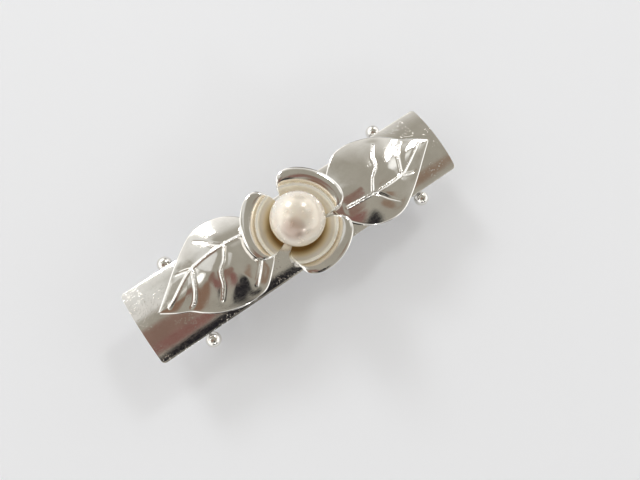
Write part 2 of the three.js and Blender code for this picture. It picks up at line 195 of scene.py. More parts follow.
def makeSilver(name, settings, scratchShare=1.0, pitShare=1.0, waveShare=1.0, bowl=None):
    made, tree, shader, place = newMaterial(name)
    cloud = noise(tree, place, settings["cloudScale"], 3.0)
    tone = rangeNode(tree, cloud, 0.35, 0.65)
    colour = mixColour(tree, tone, settings["dull"], settings["bright"])
    # the bowl bands paint light into the colour: cream for the lit bowl, gold for the pearl's reflection,
    # brown for painted shade beside the pearl; the metal is lowered there so the painted colour shows
    if bowl:
        middle = addNode(
            tree, "ShaderNodeVectorMath", {"operation": "SUBTRACT"}, {0: place, 1: (*flowerMiddle[:2], 0)},
        ).outputs[0]
        flat = addNode(
            tree, "ShaderNodeVectorMath", {"operation": "MULTIPLY"}, {0: middle, 1: (1, 1, 0)},
        ).outputs[0]
        out = addNode(tree, "ShaderNodeVectorMath", {"operation": "LENGTH"}, {0: flat}).outputs["Value"]
        for key, low, high in bowl:
            share = rangeNode(tree, out, low, high, 1.0, 0.0, "SMOOTHSTEP")
            colour = mixColour(tree, share, colour, settings[key])
        metal = rangeNode(tree, out, *bowl[0][1:], settings["bowlMetal"], 1.0, "SMOOTHSTEP")
    tree.links.new(colour, shader.inputs["Base Color"])
    fine = noise(tree, place, settings["fineScale"], 4.0, 0.6)
    low, high = settings["roughness"]
    rough = rangeNode(tree, fine, 0.3, 0.75, low, high)
    if bowl:
        extra = rangeNode(tree, out, *bowl[0][1:], settings["bowlRoughness"], 0.0)
        rough = mathNode(tree, "ADD", rough, extra)
    tree.links.new(rough, shader.inputs["Roughness"])
    scratch = 0.0
    for turn in settings["scratchDirections"]:
        line = noise(tree, stretched(tree, place, (0, 0, turn), settings["scratchStretch"]), 1.0, 1.0)
        scratch = mathNode(tree, "ADD", scratch, rangeNode(tree, line, 0.6, 0.72))
    pits = addNode(
        tree, "ShaderNodeTexVoronoi", None, {"Vector": place, "Scale": settings["pitScale"]},
    ).outputs["Distance"]
    pit = rangeNode(tree, pits, 0.0, 0.3, 1.0, 0.0)
    patch = rangeNode(tree, noise(tree, place, settings["pitPatchScale"], 2.0), 0.48, 0.62)
    pit = mathNode(tree, "MULTIPLY", pit, patch)
    height = mathNode(tree, "MULTIPLY", scratch, settings["scratchHeight"] * scratchShare)
    pit = mathNode(tree, "MULTIPLY", pit, settings["pitHeight"] * pitShare)
    height = mathNode(tree, "ADD", height, pit)
    wave = noise(tree, place, settings["waveScale"], 2.0)
    wave = mathNode(tree, "MULTIPLY", wave, settings["waveHeight"] * waveShare)
    height = mathNode(tree, "ADD", height, wave)
    vein = addNode(tree, "ShaderNodeAttribute", {"attribute_name": "vein"}).outputs["Fac"]
    grain = noise(tree, place, settings["grainScale"], 2.0)
    grain = mathNode(tree, "MULTIPLY", grain, settings["grainHeight"])
    height = mathNode(tree, "MULTIPLY_ADD", grain, vein, height)
    bump = addNode(tree, "ShaderNodeBump", None, {"Strength": 1.0, "Distance": mm, "Height": height})
    tree.links.new(bump.outputs[0], shader.inputs["Normal"])
    shader.inputs["Metallic"].default_value = 1.0
    if bowl:
        tree.links.new(metal, shader.inputs["Metallic"])
    return made


satinSettings = {
    "bright": (0.72, 0.705, 0.68, 1),
    "dull": (0.6, 0.585, 0.56, 1),
    "roughness": (0.24, 0.38),
    "brushHeight": 0.003,
    "brushTurn": (0, 0, 0.02),
    "brushStretch": (0.6, 22, 22),
}


def makeSatin(name, settings):
    made, tree, shader, place = newMaterial(name)
    cloud = noise(tree, place, 0.5, 4.0)
    tree.links.new(
        mixColour(tree, rangeNode(tree, cloud, 0.3, 0.7), settings["dull"], settings["bright"]),
        shader.inputs["Base Color"],
    )
    brush = noise(tree, stretched(tree, place, settings["brushTurn"], settings["brushStretch"]), 1.0, 3.0)
    low, high = settings["roughness"]
    tree.links.new(rangeNode(tree, brush, 0.3, 0.7, low, high), shader.inputs["Roughness"])
    height = mathNode(tree, "MULTIPLY", brush, settings["brushHeight"])
    bump = addNode(tree, "ShaderNodeBump", None, {"Strength": 1.0, "Distance": mm, "Height": height})
    tree.links.new(bump.outputs[0], shader.inputs["Normal"])
    shader.inputs["Metallic"].default_value = 1.0
    return made


nacreSettings = {
    "cream": (0.84, 0.76, 0.64, 1),
    "rose": (0.80, 0.69, 0.55, 1),
    "silver": (0.85, 0.80, 0.72, 1),
    "paintedDarkReflection": (0.42, 0.27, 0.20, 1),  # painted dark reflection, low on the front of the pearl
    "paintedDarkReflectionToward": (-0.49, -0.40, 0.775),
    "paintedDarkReflectionEdge": 0.85,  # cosine of the angle at which the painted dark reflection ends
    "paintedDarkReflectionShare": 0.7,
    # rim is a painted reflection of the gold petal bowls, a tan tint on the lower half of the pearl
    "rim": (0.78, 0.66, 0.46, 1),
    "paintedReflectionRimShare": 0.7,
    "paintedReflectionRimHeights": (-0.1, 0.4),  # heights of the painted reflection of the bowl, as shares of the radius
    "roughness": (0.24, 0.28),
    "metal": 0.22,
    "coatRoughness": 0.12,
    "subsurface": 0.15,
    "cloudScale": 0.28,
    "bandTurn": (0.4, 0.2, 0.9),
    "bandStretch": (0.8, 1.6, 1),
    "bandScale": 0.3,
    "roseShare": 0.6,
    "rippleScale": 1.1,
    "rippleHeight": 0.005,
}


def makeNacre(name, settings):
    made, tree, shader, place = newMaterial(name)
    cloud = rangeNode(tree, noise(tree, place, settings["cloudScale"], 2.0), 0.35, 0.65)
    slanted = stretched(tree, place, settings["bandTurn"], settings["bandStretch"])
    rose = rangeNode(tree, noise(tree, slanted, settings["bandScale"], 2.0), 0.45, 0.7)
    base = mixColour(tree, cloud, settings["cream"], settings["silver"])
    base = mixColour(tree, mathNode(tree, "MULTIPLY", rose, settings["roseShare"]), base, settings["rose"])
    out = addNode(
        tree, "ShaderNodeVectorMath", {"operation": "SUBTRACT"}, {0: place, 1: tuple(flowerMiddle)},
    ).outputs[0]
    toward = addNode(tree, "ShaderNodeVectorMath", {"operation": "NORMALIZE"}, {0: out}).outputs[0]
    # painted dark reflection: a darker patch toward the lower front of the pearl
    near = addNode(
        tree, "ShaderNodeVectorMath", {"operation": "DOT_PRODUCT"}, {0: toward, 1: settings["paintedDarkReflectionToward"]},
    ).outputs["Value"]
    paintedDarkReflection = rangeNode(tree, near, settings["paintedDarkReflectionEdge"], 1.0, 0.0, settings["paintedDarkReflectionShare"], "SMOOTHSTEP")
    base = mixColour(tree, paintedDarkReflection, base, settings["paintedDarkReflection"])
    # painted reflection of the bowls: tan over the lower half of the pearl
    height = addNode(tree, "ShaderNodeSeparateXYZ", None, {0: toward}).outputs[2]
    rim = rangeNode(tree, height, *settings["paintedReflectionRimHeights"], settings["paintedReflectionRimShare"], 0.0)
    base = mixColour(tree, rim, base, settings["rim"])
    tree.links.new(base, shader.inputs["Base Color"])
    low, high = settings["roughness"]
    rough = rangeNode(tree, noise(tree, place, 1.5, 3.0), 0.3, 0.7, low, high)
    tree.links.new(rough, shader.inputs["Roughness"])
    ripple = noise(tree, place, settings["rippleScale"], 3.0)
    ripple = mathNode(tree, "MULTIPLY", ripple, settings["rippleHeight"])
    bump = addNode(tree, "ShaderNodeBump", None, {"Strength": 1.0, "Distance": mm, "Height": ripple})
    tree.links.new(bump.outputs[0], shader.inputs["Normal"])
    shader.inputs["Subsurface Weight"].default_value = settings["subsurface"]
    shader.inputs["Subsurface Radius"].default_value = (1.0, 0.7, 0.5)
    shader.inputs["Subsurface Scale"].default_value = mm
    shader.inputs["Metallic"].default_value = settings["metal"]
    shader.inputs["Coat Weight"].default_value = 1.0
    shader.inputs["Coat Roughness"].default_value = settings["coatRoughness"]
    return made


plateFinish = makeSilver("polishedPlate", silverSettings, 0.4, 1.7, 0.15)
leafFinish = makeSilver("polishedLeaf", silverSettings, 0.5, 0.3, 0.5)
# painted light and shade in the petal bowls, by distance from the flower's middle: cream lit bowl, gold
# reflection of the pearl, brown shade beside the pearl
bowlPaintedLightBands = [
    ("bowlPaintedLightCream", pearlRadius + 1.85, pearlRadius + 2.2),
    ("bowlPaintedReflectionGold", pearlRadius + 0.3, pearlRadius + 1.3),
    ("bowlPaintedShadeBrown", pearlRadius - 0.2, pearlRadius + 0.8),
]
petalFinish = makeSilver("polishedPetal", silverSettings, 0.5, 0.7, 0.4, bowlPaintedLightBands)
knobFinish = makeSilver("polishedKnob", silverSettings, 0.4, 0.4, 0.3)
satinFinish = makeSatin("satinSilver", satinSettings)
springLook = dict(satinSettings, roughness=(0.28, 0.42), bright=(0.6, 0.59, 0.57, 1))
springFinish = makeSatin("springSteel", springLook)
nacreFinish = makeNacre("nacre", nacreSettings)
print("finishes made")


# mesh helpers: points are in millimetres until meshFrom
def curveAt(points, shares):
    line = np.array(points, float)
    shares = np.asarray(shares, float)
    spot = shares * (len(line) - 1)
    start = np.minimum(np.floor(spot).astype(int), len(line) - 2)
    t = (spot - start)[:, None]
    a = line[np.maximum(start - 1, 0)]
    b = line[start]
    c = line[start + 1]
    d = line[np.minimum(start + 2, len(line) - 1)]
    return 0.5 * (2 * b + (c - a) * t + (2 * a - 5 * b + 4 * c - d) * t**2 + (3 * b - a - 3 * c + d) * t**3)


def distanceTo(spots, line):
    best = np.full(len(spots), 1e9)
    share = np.zeros(len(spots))
    for i in range(len(line) - 1):
        run = line[i + 1] - line[i]
        t = np.clip(((spots - line[i]) @ run) / max(run @ run, 1e-12), 0, 1)
        gap = np.linalg.norm(spots - (line[i] + t[:, None] * run), axis=1)
        closer = gap < best
        best = np.where(closer, gap, best)
        share = np.where(closer, (i + t) / (len(line) - 1), share)
    return best, share


def smoothStep(value, low, high):
    t = np.clip((value - low) / (high - low), 0, 1)
    return t * t * (3 - 2 * t)


def meshFrom(name, points, faces, shares=None):
    mesh = bpy.data.meshes.new(name)
    mesh.from_pydata((np.asarray(points) * mm).tolist(), [], faces)
    for label, values in (shares or {}).items():
        mesh.attributes.new(label, "FLOAT", "POINT").data.foreach_set("value", values)
    tidy = bmesh.new()
    tidy.from_mesh(mesh)
    bmesh.ops.remove_doubles(tidy, verts=tidy.verts, dist=1e-7)
    bmesh.ops.dissolve_degenerate(tidy, edges=tidy.edges, dist=1e-8)
    bmesh.ops.recalc_face_normals(tidy, faces=tidy.faces)
    tidy.to_mesh(mesh)
    tidy.free()
    return mesh


def shellFaces(rows, columns):
    under = rows * columns
    at = np.arange(under).reshape(rows, columns)
    a, b, c, d = at[:-1, :-1], at[1:, :-1], at[1:, 1:], at[:-1, 1:]
    top = np.stack([a, b, c, d], -1).reshape(-1, 4)
    faces = top.tolist() + (top[:, ::-1] + under).tolist()
    rim = np.concatenate([at[0, :-1], at[:-1, -1], at[-1, :0:-1], at[:0:-1, 0]])
    following = np.roll(rim, -1)
    faces += np.stack([rim, following, following + under, rim + under], -1).tolist()
    return faces


def turnedMesh(name, profile, middle, axis, steps):
    profile = np.array(profile, float)
    across = Vector((0, 0, 1)) if abs(axis[2]) < 0.5 else Vector((1, 0, 0))
    along = Vector(axis)
    side = along.cross(across)
    turn = np.linspace(0, 2 * math.pi, steps, endpoint=False)
    rows = []
    for radius, height in profile:
        ring = np.outer(radius * np.cos(turn), across) + np.outer(radius * np.sin(turn), side)
        rows.append(ring + np.array(middle) + height * np.array(along))
    points = np.concatenate(rows)
    at = np.arange(len(points)).reshape(len(profile), steps)
    following = np.roll(at, -1, axis=1)
    faces = np.stack([at[:-1], following[:-1], following[1:], at[1:]], -1).reshape(-1, 4).tolist()
    return meshFrom(name, points, faces)


def placePiece(name, mesh, body, finish, nodes, sharp=40):
    piece = bpy.data.objects.new(name, mesh)
    scene.collection.objects.link(piece)
    mesh.materials.clear()
    mesh.materials.append(finish)
    mesh.shade_smooth()
    mesh.set_sharp_from_angle(angle=math.radians(sharp))
    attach(piece, body)
    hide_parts(*nodes)
    return piece


def settled(piece):
    bpy.context.view_layer.update()
    mesh = bpy.data.meshes.new_from_object(piece.evaluated_get(bpy.context.evaluated_depsgraph_get()))
    bpy.data.objects.remove(piece)
    return mesh


def withModifiers(name, mesh, modifiers):
    rough = bpy.data.objects.new(name + "Rough", mesh)
    scene.collection.objects.link(rough)
    for kind, settings in modifiers:
        modifier = rough.modifiers.new(kind, kind)
        for key, value in settings.items():
            setattr(modifier, key, value)
    made = settled(rough)
    made.name = name
    return made


# top plate
plateSettings = {
    "cornerRadius": 0.5,
    "thickness": 0.6,
    "archRadius": 15.6,
    "edgeRound": 0.18,
    "lengthRows": 60,
    "widthColumns": 44,
}


def makePlate(settings):
    half = float(plateHigh[0])
    halfWidth = float(plateHigh[1])
    corner = settings["cornerRadius"]
    ends = half - corner + corner * np.sin(np.linspace(0, math.pi / 2, 6))
    middle = np.linspace(-half + corner, half - corner, settings["lengthRows"])
    rows = np.concatenate([-ends[:0:-1], middle, ends[1:]])
    archZ = crownZ - settings["archRadius"]
    points = []
    for radius in (settings["archRadius"], settings["archRadius"] - settings["thickness"]):
        for x in rows:
            over = max(abs(x) - (half - corner), 0)
            reach = halfWidth - corner + math.sqrt(max(corner**2 - over**2, 0))
            y = np.linspace(-reach, reach, settings["widthColumns"])
            points.append(np.stack([np.full_like(y, x), y, archZ + np.sqrt(radius**2 - y**2)], -1))
    faces = shellFaces(len(rows), settings["widthColumns"])
    mesh = meshFrom("topPlate", np.concatenate(points), faces)
    bevel = {"width": settings["edgeRound"] * mm, "segments": 3, "limit_method": "ANGLE", "angle_limit": 0.8}
    mesh = withModifiers("topPlate", mesh, [("BEVEL", bevel)])
    placePiece("topPlate", mesh, "clip", plateFinish, ["top_plate"])


makePlate(plateSettings)
print("top plate made")


# leaves: outlines and veins are shares of the leaf's length and width, from its foot to its tip
leafSettings = {
    "foot": 5.3,  # millimetres from the middle of the flower
    "length": 18.0,
    "width": 12.9,
    "thickness": 0.45,
    "shoulder": 5.5,
    "swell": 1.35,  # 1 gives flat slopes like a roof, 2 a round cushion
    "edgeDrop": 0.06,
    "edgeWidth": 0.18,
    "notchRadius": pearlRadius + 1.38,
    "fullRadius": pearlRadius + 3.38,
    "ridgeHeight": 0.17,
    "ridgeWidth": 0.18,
    "cutDepth": 0.16,
    "cutWidth": 0.14,
    "valleyDepth": 0.14,
    "valleyWidth": 1.0,
    "rows": 210,
    "columns": 130,
}
leafPlaces = {
    "leafRight": {"turn": 0.0, "shift": (0.0, 0.0), "puff": 1.2, "veins": 3, "node": "leaf_right"},
    "leafLeft": {"turn": 182.5, "shift": (1.5, 1.4), "puff": 1.55, "veins": 4, "node": "leaf_left"},
}
leafBack = [
    (0, 0.02), (0.06, 0.2), (0.17, 0.36), (0.27, 0.46), (0.39, 0.48), (0.51, 0.45), (0.64, 0.38),
    (0.74, 0.28), (0.81, 0.19), (0.9, 0.12), (1, 0.02),
]
leafFront = [
    (0, -0.05), (0.03, -0.2), (0.12, -0.36), (0.23, -0.47), (0.37, -0.52), (0.5, -0.5), (0.63, -0.4),
    (0.76, -0.27), (0.87, -0.15), (1, -0.01),
]
leafVeins = [
    [
        (0.11, -0.14), (0.25, -0.16), (0.34, -0.17), (0.48, -0.18), (0.63, -0.16), (0.72, -0.11),
        (0.84, -0.02), (0.92, 0.03),
    ],
    [(0.34, -0.15), (0.4, -0.03), (0.47, 0.05), (0.51, 0.18), (0.58, 0.29)],
    [(0.63, -0.15), (0.68, 0.01), (0.74, 0.12), (0.79, 0.16)],
    [(0.18, 0.19), (0.31, 0.37)],
]
leafCuts = [
    [(0.34, -0.18), (0.39, -0.24), (0.43, -0.31), (0.5, -0.4)],
    [(0.63, -0.16), (0.7, -0.2), (0.76, -0.22)],
]


def placeLeafPoints(points, place, settings):
    points = np.array(points, float) * (settings["length"], settings["width"]) + (settings["foot"], 0)
    turn = math.radians(place["turn"])
    rotate = np.array([[math.cos(turn), math.sin(turn)], [-math.sin(turn), math.cos(turn)]])
    return points @ rotate + place["shift"]


def rimHeight(spots):
    return crownZ + 0.04 - 0.006 * spots[:, 1] ** 2


def leafHeight(spots, front, back, veins, puff, settings):
    rises = []
    nearest = np.full(len(spots), 1e9)
    for edge in (front, back):
        gap, share = distanceTo(spots, edge)
        inward = np.clip(gap / settings["shoulder"], 1e-4, 1)
        rises.append(1 - (1 - inward) ** settings["swell"])
        nearest = np.minimum(nearest, gap)
    rise = (rises[0] ** -4 + rises[1] ** -4 - 1) ** -0.25
    clear = np.linalg.norm(spots - flowerMiddle[:2], axis=1)
    fade = smoothStep(clear, settings["notchRadius"] - 1.6, settings["fullRadius"])
    smooth = puff * fade * rise
    smooth -= settings["edgeDrop"] * np.clip(1 - nearest / settings["edgeWidth"], 0, 1) ** 2
    ridge = np.zeros(len(spots))
    cut = np.zeros(len(spots))
    valley = np.zeros(len(spots))
    for line, isCut in veins:
        gap, share = distanceTo(spots, line)
        taper = 1 - 0.6 * share
        if isCut:
            cut = np.maximum(cut, taper * np.exp(-((gap / settings["cutWidth"]) ** 2)))
        else:
            ridge = np.maximum(ridge, taper * np.exp(-((gap / settings["ridgeWidth"]) ** 2)))
        valley = np.maximum(valley, taper * np.exp(-((gap / settings["valleyWidth"]) ** 2)))
    inside = smoothStep(nearest, 0.1, 1.0)
    inside *= smoothStep(clear, settings["notchRadius"] + 1.2, settings["notchRadius"] + 2.8)
    worked = settings["ridgeHeight"] * ridge - settings["cutDepth"] * cut - settings["valleyDepth"] * valley
    return smooth, inside * worked, inside * ridge


def makeLeaf(name, place, settings):
    frontLine = placeLeafPoints(leafFront, place, settings)
    backLine = placeLeafPoints(leafBack, place, settings)
    front = curveAt(frontLine, np.linspace(0, 1, 90))
    back = curveAt(backLine, np.linspace(0, 1, 90))
    veins = []
    for lines, isCut in ((leafVeins[: place["veins"]], False), (leafCuts, True)):
        for line in lines:
            placed = placeLeafPoints(line, place, settings)
            veins.append((curveAt(placed, np.linspace(0, 1, 6 * len(line))), isCut))
    across = 0.5 - 0.5 * np.cos(np.linspace(0, math.pi, settings["columns"]))
    search = np.linspace(0, 1, 400)
    starts = []
    for share in across:
        run = curveAt(frontLine, search) * (1 - share) + curveAt(backLine, search) * share
        under = np.linalg.norm(run - flowerMiddle[:2], axis=1) < settings["notchRadius"]
        starts.append(search[np.nonzero(under)[0][-1]] if under.any() else 0.0)
    starts = np.array(starts)
    spots = []
    for step in np.linspace(0, 1, settings["rows"]):
        along = starts + (1 - starts) * step
        spots.append(
            curveAt(frontLine, along) * (1 - across)[:, None] + curveAt(backLine, along) * across[:, None]
        )
    spots = np.concatenate(spots)
    smooth, worked, ridge = leafHeight(spots, front, back, veins, place["puff"], settings)
    rim = rimHeight(spots)
    upper = np.column_stack([spots, rim + settings["thickness"] + smooth + worked])
    lower = np.column_stack([spots, rim + 0.85 * smooth])
    faces = shellFaces(settings["rows"], settings["columns"])
    shares = {"vein": np.concatenate([ridge, 0 * ridge])}
    mesh = meshFrom(name, np.concatenate([upper, lower]), faces, shares)
    placePiece(name, mesh, "clip", leafFinish, [place["node"]], 60)


for leafName, leafPlace in leafPlaces.items():
    makeLeaf(leafName, leafPlace, leafSettings)
print("leaves made")


# petals: one node tree, used three times
petalSettings = {
    "Middle X": float(flowerMiddle[0]) * mm,
    "Middle Y": float(flowerMiddle[1]) * mm,
    "Half Span": math.radians(50),
    "Foot Radius": (pearlRadius - 2.2) * mm,
    "Corner Radius": (pearlRadius + 1.48) * mm,
    "Lip Drop": -0.34 * mm,
}
petalSheet = {"thickness": 0.42, "edgeRound": 0.1, "columns": 81, "rows": 111}
petalRim = {"sharpness": 5.5, "rise": 0.62, "lipShare": 0.2}  # the outer fifth of a petal turns over
petalTurns = {
    "petalBackRight": {"turn": 36, "reach": 4.18, "skew": 0.0, "flare": 0, "node": "petal_back_right"},
    "petalBackLeft": {"turn": 152.4, "reach": 3.95, "skew": 0.3, "flare": 5, "node": "petal_back_left"},
    "petalFront": {"turn": 289, "reach": 4.0, "skew": -0.15, "flare": 14, "node": "petal_front"},
}
# inner face of a petal, as distance outside the pearl and height over the crown, in millimetres
petalProfile = [
    (-2.4, 0.46), (-1.3, 0.5), (-0.4, 0.63), (0.5, 1.0), (1.15, 1.45), (1.5, 1.78), (1.66, 1.88),
    (1.8, 1.9), (1.93, 1.93), (2.1, 2.08), (2.35, 2.27), (2.65, 2.42), (3.0, 2.54), (3.35, 2.63),
    (3.7, 2.69), (4.0, 2.71), (4.4, 2.67),
]


def petalTree():
    tree = bpy.data.node_groups.new("petalTree", "GeometryNodeTree")
    tree.interface.new_socket("Geometry", in_out="OUTPUT", socket_type="NodeSocketGeometry")
    for label in ("Turn", "Rim Radius", "Skew", "Flare", *petalSettings):
        tree.interface.new_socket(label, in_out="INPUT", socket_type="NodeSocketFloat")
    tree.interface.new_socket("Finish", in_out="INPUT", socket_type="NodeSocketMaterial")
    start = tree.nodes.new("NodeGroupInput").outputs
    grid = addNode(
        tree, "GeometryNodeMeshGrid", None,
        {"Size X": 2.0, "Size Y": 1.0, "Vertices X": petalSheet["columns"], "Vertices Y": petalSheet["rows"]},
    )
    position = addNode(tree, "GeometryNodeInputPosition").outputs[0]
    place = addNode(tree, "ShaderNodeSeparateXYZ", None, {0: position})
    across = mathNode(tree, "SINE", mathNode(tree, "MULTIPLY", place.outputs[0], math.pi / 2))
    outward = mathNode(tree, "ADD", place.outputs[1], 0.5)
    spread = mathNode(tree, "POWER", mathNode(tree, "ABSOLUTE", across), petalRim["sharpness"])
    inside = mathNode(tree, "MAXIMUM", mathNode(tree, "SUBTRACT", 1.0, spread), 0.0)
    rise = mathNode(tree, "POWER", inside, petalRim["rise"])
    full = mathNode(tree, "MULTIPLY_ADD", start["Skew"], across, start["Rim Radius"])
    reach = mathNode(tree, "SUBTRACT", full, start["Corner Radius"])
    rim = mathNode(tree, "MULTIPLY_ADD", reach, rise, start["Corner Radius"])
    run = mathNode(tree, "SUBTRACT", rim, start["Foot Radius"])
    radius = mathNode(tree, "MULTIPLY_ADD", run, outward, start["Foot Radius"])
    inward = rangeNode(tree, radius, (pearlRadius + 0.4) * mm, (pearlRadius + 2.5) * mm, 1.0, 0.0)
    flare = mathNode(tree, "MULTIPLY", start["Flare"], mathNode(tree, "MAXIMUM", across, 0.0))
    even = mathNode(tree, "MULTIPLY", start["Half Span"], across)
    span = mathNode(tree, "MULTIPLY_ADD", flare, inward, even)
    turn = mathNode(tree, "SUBTRACT", start["Turn"], span)
    curve = tree.nodes.new("ShaderNodeFloatCurve")
    first, last = petalProfile[0][0], petalProfile[-1][0]
    tallest = max(height for out, height in petalProfile)
    points = curve.mapping.curves[0].points
    for index, (out, height) in enumerate(petalProfile):
        share = ((out - first) / (last - first), height / tallest)
        if index < 2:
            points[index].location = share
        else:
            points.new(*share)
    curve.mapping.update()
    low, high = (pearlRadius + first) * mm, (pearlRadius + last) * mm
    tree.links.new(rangeNode(tree, radius, low, high), curve.inputs["Value"])
    height = mathNode(tree, "MULTIPLY_ADD", curve.outputs[0], tallest * mm, crownZ * mm)
    lipShare = petalRim["lipShare"]
    nearLip = mathNode(tree, "MULTIPLY_ADD", outward, 1 / lipShare, (lipShare - 1) / lipShare)
    nearLip = mathNode(tree, "MAXIMUM", nearLip, 0.0)
    height = mathNode(tree, "MULTIPLY_ADD", mathNode(tree, "POWER", nearLip, 2.0), start["Lip Drop"], height)
    spot = addNode(
        tree, "ShaderNodeCombineXYZ", None,
        {
            0: mathNode(tree, "MULTIPLY_ADD", radius, mathNode(tree, "COSINE", turn), start["Middle X"]),
            1: mathNode(tree, "MULTIPLY_ADD", radius, mathNode(tree, "SINE", turn), start["Middle Y"]),
            2: height,
        },
    )
    moved = addNode(
        tree, "GeometryNodeSetPosition", None,
        {"Geometry": grid.outputs["Mesh"], "Position": spot.outputs[0]},
    )
    real = addNode(tree, "GeometryNodeRealizeInstances", None, {"Geometry": moved.outputs[0]})
    painted = addNode(
        tree, "GeometryNodeSetMaterial", None, {"Geometry": real.outputs[0], "Material": start["Finish"]},
    )
    end = tree.nodes.new("NodeGroupOutput")
    tree.links.new(painted.outputs[0], end.inputs[0])
    return tree


def fromTree(name, tree, values):
    rough = bpy.data.objects.new(name + "Rough", bpy.data.meshes.new(name + "Rough"))
    scene.collection.objects.link(rough)
    modifier = rough.modifiers.new("shape", "NODES")
    modifier.node_group = tree
    for item in tree.interface.items_tree:
        if item.in_out == "INPUT" and item.name in values:
            modifier[item.identifier] = values[item.name]
    mesh = settled(rough)
    mesh.name = name
    return mesh


def makePetal(name, place, tree):
    values = dict(petalSettings, Finish=petalFinish)
    values["Turn"] = math.radians(place["turn"])
    values["Skew"] = place["skew"] * mm
    values["Flare"] = math.radians(place["flare"])
    values["Rim Radius"] = (pearlRadius + place["reach"]) * mm
    mesh = fromTree(name + "Face", tree, values)
    tidy = bmesh.new()
    tidy.from_mesh(mesh)
    bmesh.ops.remove_doubles(tidy, verts=tidy.verts, dist=1e-7)
    bmesh.ops.recalc_face_normals(tidy, faces=tidy.faces)
    upward = sum(face.normal.z * face.calc_area() for face in tidy.faces)
    if upward < 0:
        bmesh.ops.reverse_faces(tidy, faces=tidy.faces)
    tidy.to_mesh(mesh)
    tidy.free()
    thicken = {"thickness": petalSheet["thickness"] * mm, "offset": -1.0, "use_even_offset": False}
    edgeRound = petalSheet["edgeRound"] * mm
    bevel = {"width": edgeRound, "segments": 3, "limit_method": "ANGLE", "angle_limit": 0.9}
    mesh = withModifiers(name, mesh, [("SOLIDIFY", thicken), ("BEVEL", bevel)])
    placePiece(name, mesh, "clip", petalFinish, [place["node"]], 50)


petalShape = petalTree()
for petalName, petalPlace in petalTurns.items():
    makePetal(petalName, petalPlace, petalShape)
print("petals made")


# pearl, drilled from below
pearlSettings = {"boreRadius": 0.45, "boreDepth": 2.7, "rings": 64, "steps": 96}


def makePearl(settings):
    bore = settings["boreRadius"]
    start = math.asin(bore / pearlRadius)
    turns = np.linspace(start, math.pi, settings["rings"])
    outer = [(pearlRadius * math.sin(t), -pearlRadius * math.cos(t)) for t in turns]
    top = -pearlRadius + settings["boreDepth"]
    profile = [(0, top), (bore * 0.9, top), (bore, top - 0.05)] + outer
    mesh = turnedMesh("pearl", profile, flowerMiddle, (0, 0, 1), settings["steps"])
    placePiece("pearlBead", mesh, "clip", nacreFinish, ["pearl"], 40)


makePearl(pearlSettings)
print("pearl made")


# ball knobs on the hinge and the catch
knobSettings = {
    "rings": 26,
    "steps": 48,
    "neckRadius": 0.62,
    "neckLength": 0.16,
    "boreRadius": 0.41,
    "boreDepth": 0.5,
}
knobNodes = {
    "hingeBallFront": ("hinge_ball_front", -1),
    "hingeBallBack": ("hinge_ball_back", 1),
    "catchBallFront": ("catch_ball_front", -1),
    "catchBallBack": ("catch_ball_back", 1),
}


def bodyOf(node):
    return frame["nodes"][node]["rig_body"]


def makeKnob(name, node, side, settings):
    low, high = (np.array(corner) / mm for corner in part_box(node))
    radius = float(high[2] - low[2]) / 2
    middle = (low + high) / 2
    start = math.asin(settings["neckRadius"] / radius)
    turns = np.linspace(start, math.pi, settings["rings"])
    neck = settings["neckRadius"]
    inner = -radius * math.cos(start)
    bore = settings["boreRadius"]
    profile = [(bore, inner + settings["boreDepth"]), (bore, inner - settings["neckLength"] + 0.03)]
    profile += [(neck - 0.05, inner - settings["neckLength"]), (neck, inner - settings["neckLength"] + 0.05)]
    profile += [(radius * math.sin(t), -radius * math.cos(t)) for t in turns]
    mesh = turnedMesh(name, profile, middle, (0, side, 0), settings["steps"])
    tidy = bmesh.new()
    tidy.from_mesh(mesh)
    bmesh.ops.holes_fill(tidy, edges=[edge for edge in tidy.edges if edge.is_boundary], sides=0)
    bmesh.ops.recalc_face_normals(tidy, faces=tidy.faces)
    tidy.to_mesh(mesh)
    tidy.free()
    placePiece(name, mesh, bodyOf(node), knobFinish, [node], 40)


for knobName, (knobNode, knobSide) in knobNodes.items():
    makeKnob(knobName, knobNode, knobSide, knobSettings)
print("knobs made")


# clasp parts with broken edges
claspParts = {
    "claspBase": ("clasp_base", 0.09, "satin_silver", satinFinish),
    "claspArm": ("clasp_arm", 0.12, "satin_silver", satinFinish),
    "catchHousing": ("catch_housing", 0.08, "satin_silver", satinFinish),
    "frontSlider": ("catch_slider_front", 0.05, "satin_silver", satinFinish),
    "backSlider": ("catch_slider_back", 0.05, "satin_silver", satinFinish),
    "tensionBow": ("tension_bow", 0.05, "spring_steel", springFinish),
    "bowRivetLeft": ("bow_rivet_left", 0.04, "satin_silver", satinFinish),
    "bowRivetRight": ("bow_rivet_right", 0.04, "satin_silver", satinFinish),
    "hingePin": ("hinge_pin", 0.05, "satin_silver", satinFinish),
    "pearlCup": ("pearl_cup", 0.04, "polished_silver", petalFinish),
    "pearlPeg": ("pearl_peg", 0.04, "polished_silver", petalFinish),
}


def makeClaspPart(name, node, edgeRound, slot, finish):
    mesh = frame["nodes"][node].data.copy()
    tidy = bmesh.new()
    tidy.from_mesh(mesh)
    bmesh.ops.remove_doubles(tidy, verts=tidy.verts, dist=2e-6)
    bmesh.ops.dissolve_limit(
        tidy, angle_limit=math.radians(1), verts=tidy.verts, edges=tidy.edges, delimit={"NORMAL"},
    )
    tidy.to_mesh(mesh)
    tidy.free()
    bevel = {
        "width": edgeRound * mm, "segments": 2, "limit_method": "ANGLE",
        "angle_limit": math.radians(40), "use_clamp_overlap": True,
    }
    mesh = withModifiers(name, mesh, [("BEVEL", bevel)])
    placePiece(name, mesh, bodyOf(node), finish, [node], 38)


for claspName, claspPart in claspParts.items():
    makeClaspPart(claspName, *claspPart)
print("clasp parts made")


